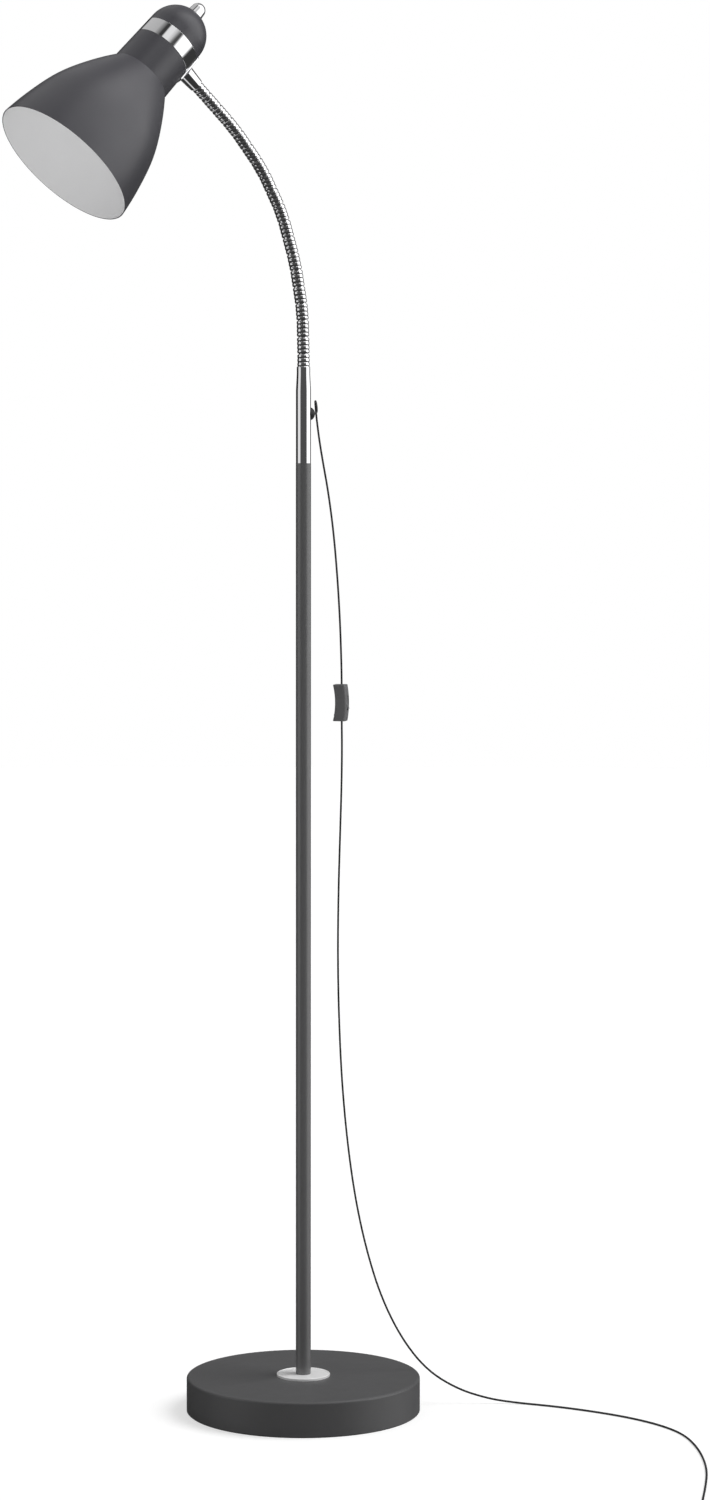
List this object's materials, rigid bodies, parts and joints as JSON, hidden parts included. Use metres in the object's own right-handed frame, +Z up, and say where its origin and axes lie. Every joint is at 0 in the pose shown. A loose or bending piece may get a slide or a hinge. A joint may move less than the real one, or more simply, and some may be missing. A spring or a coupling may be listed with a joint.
{
  "type": "gooseneck reading floor lamp",
  "caption": "Slim floor lamp with a round weighted base, a straight pole, a bendable ribbed neck and a tilting bell shade, with a switch on its cord.",
  "frame": {"origin": "centre of the underside of the round base, on the pole's axis", "axes": "+Z up along the pole; the neck bends and the shade points towards -X in the plane Y=0"},
  "size_m": [0.6229, 0.6936, 1.4849],
  "materials": {
    "grey_paint": "satin",
    "base_paint": "satin",
    "chrome_plate": "polished",
    "satin_silver": "satin",
    "zinc_steel": "satin",
    "base_concrete": "matte",
    "foot_rubber": "matte",
    "grommet_rubber": "satin",
    "cord_pvc": "satin",
    "switch_plastic": "satin",
    "plug_plastic": "satin",
    "contact_brass": "satin",
    "nickel_plate": "gloss",
    "holder_plastic": "satin",
    "bulb_glass": "satin",
    "bulb_plastic": "satin"
  },
  "bodies": {
    "stand": {"base_cover": "base_paint", "base_weight": "base_concrete", "base_pad": "foot_rubber", "pole_flange": "satin_silver", "base_stud": "zinc_steel", "base_washer": "zinc_steel", "base_nut": "zinc_steel", "pole_lower": "grey_paint", "pole_coupler": "zinc_steel", "pole_upper": "grey_paint", "tube_coupler": "zinc_steel", "neck_tube": "chrome_plate", "cord_grommet": "grommet_rubber", "neck_root": "chrome_plate", "neck_lead": "cord_pvc", "cord_upper": "cord_pvc", "cord_lower": "cord_pvc", "cord_coil": "cord_pvc", "cord_tail": "cord_pvc", "plug_body": "plug_plastic", "plug_blades": "nickel_plate", "switch_back": "switch_plastic", "switch_front": "switch_plastic", "switch_contacts": "contact_brass", "switch_screws": "zinc_steel"},
    "link_01": {"neck_link_01": "chrome_plate"},
    "link_02": {"neck_link_02": "chrome_plate"},
    "link_03": {"neck_link_03": "chrome_plate"},
    "link_04": {"neck_link_04": "chrome_plate"},
    "link_05": {"neck_link_05": "chrome_plate"},
    "link_06": {"neck_link_06": "chrome_plate"},
    "link_07": {"neck_link_07": "chrome_plate"},
    "link_08": {"neck_link_08": "chrome_plate"},
    "link_09": {"neck_link_09": "chrome_plate"},
    "link_10": {"neck_link_10": "chrome_plate"},
    "link_11": {"neck_link_11": "chrome_plate"},
    "link_12": {"neck_link_12": "chrome_plate"},
    "link_13": {"neck_link_13": "chrome_plate"},
    "link_14": {"neck_link_14": "chrome_plate"},
    "link_15": {"neck_link_15": "chrome_plate"},
    "link_16": {"neck_link_16": "chrome_plate"},
    "link_17": {"neck_link_17": "chrome_plate"},
    "neck_tip": {"neck_end": "chrome_plate", "neck_ferrule": "chrome_plate"},
    "head": {"swivel_stud": "zinc_steel", "swivel_nut": "zinc_steel", "saddle_plate": "chrome_plate", "shade": "grey_paint", "shade_band": "chrome_plate", "shade_cap": "grey_paint", "cap_knob": "chrome_plate", "holder_stem": "zinc_steel", "lampholder": "holder_plastic", "lampholder_shell": "nickel_plate", "lampholder_contact": "contact_brass", "bulb_globe": "bulb_glass", "bulb_body": "bulb_plastic", "bulb_cap": "nickel_plate", "head_lead": "cord_pvc"},
    "rocker": {"switch_rocker": "switch_plastic"}
  },
  "joints": [
    {"name": "neck_bend_01", "type": "hinge", "parent": "stand", "child": "link_01", "pos_m": [0, 0, 1.1263], "axis": [0, -1, 0], "range_deg": [-9, 5], "deforming": ["neck_lead"]},
    {"name": "neck_side_02", "type": "hinge", "parent": "link_01", "child": "link_02", "pos_m": [-0.00046, 0, 1.14389], "axis": [0.9997, 0, 0.0262], "range_deg": [-9, 9]},
    {"name": "neck_bend_03", "type": "hinge", "parent": "link_02", "child": "link_03", "pos_m": [-0.00092, 0, 1.16149], "axis": [0, -1, 0], "range_deg": [-9, 5]},
    {"name": "neck_bend_04", "type": "hinge", "parent": "link_03", "child": "link_04", "pos_m": [-0.00261, 0, 1.17901], "axis": [0, -1, 0], "range_deg": [-9, 5]},
    {"name": "neck_side_05", "type": "hinge", "parent": "link_04", "child": "link_05", "pos_m": [-0.00566, 0, 1.19634], "axis": [0.9848, 0, 0.1736], "range_deg": [-9, 9]},
    {"name": "neck_bend_06", "type": "hinge", "parent": "link_05", "child": "link_06", "pos_m": [-0.00872, 0, 1.21367], "axis": [0, -1, 0], "range_deg": [-9, 5]},
    {"name": "neck_bend_07", "type": "hinge", "parent": "link_06", "child": "link_07", "pos_m": [-0.01298, 0, 1.23075], "axis": [0, -1, 0], "range_deg": [-9, 5]},
    {"name": "neck_side_08", "type": "hinge", "parent": "link_07", "child": "link_08", "pos_m": [-0.01827, 0, 1.24753], "axis": [0.9537, 0, 0.3007], "range_deg": [-9, 9]},
    {"name": "neck_bend_09", "type": "hinge", "parent": "link_08", "child": "link_09", "pos_m": [-0.02356, 0, 1.26432], "axis": [0, -1, 0], "range_deg": [-9, 5]},
    {"name": "neck_bend_10", "type": "hinge", "parent": "link_09", "child": "link_10", "pos_m": [-0.0303, 0, 1.28058], "axis": [0, -1, 0], "range_deg": [-9, 5]},
    {"name": "neck_side_11", "type": "hinge", "parent": "link_10", "child": "link_11", "pos_m": [-0.0387, 0, 1.29605], "axis": [0.8788, 0, 0.4772], "range_deg": [-9, 9]},
    {"name": "neck_bend_12", "type": "hinge", "parent": "link_11", "child": "link_12", "pos_m": [-0.04709, 0, 1.31151], "axis": [0, -1, 0], "range_deg": [-9, 5]},
    {"name": "neck_bend_13", "type": "hinge", "parent": "link_12", "child": "link_13", "pos_m": [-0.05706, 0, 1.32602], "axis": [0, -1, 0], "range_deg": [-9, 5]},
    {"name": "neck_side_14", "type": "hinge", "parent": "link_13", "child": "link_14", "pos_m": [-0.06826, 0, 1.3396], "axis": [0.7716, 0, 0.6361], "range_deg": [-9, 9]},
    {"name": "neck_bend_15", "type": "hinge", "parent": "link_14", "child": "link_15", "pos_m": [-0.07945, 0, 1.35318], "axis": [0, -1, 0], "range_deg": [-9, 5]},
    {"name": "neck_bend_16", "type": "hinge", "parent": "link_15", "child": "link_16", "pos_m": [-0.09168, 0, 1.36584], "axis": [0, -1, 0], "range_deg": [-9, 5]},
    {"name": "neck_side_17", "type": "hinge", "parent": "link_16", "child": "link_17", "pos_m": [-0.10455, 0, 1.37784], "axis": [0.682, 0, 0.7314], "range_deg": [-9, 9]},
    {"name": "neck_bend_18", "type": "hinge", "parent": "link_17", "child": "neck_tip", "pos_m": [-0.11742, 0, 1.38985], "axis": [0, -1, 0], "range_deg": [-9, 5]},
    {"name": "head_swivel", "type": "hinge", "parent": "neck_tip", "child": "head", "pos_m": [-0.14264, 0, 1.41295], "axis": [-0.7373, 0, 0.6756], "range_deg": [-165, 165]},
    {"name": "switch_rocker", "type": "hinge", "parent": "stand", "child": "rocker", "pos_m": [0.05085, -0.00355, 0.7585], "axis": [0.7071, 0.7071, 0], "range_deg": [0, 14]}
  ]
}
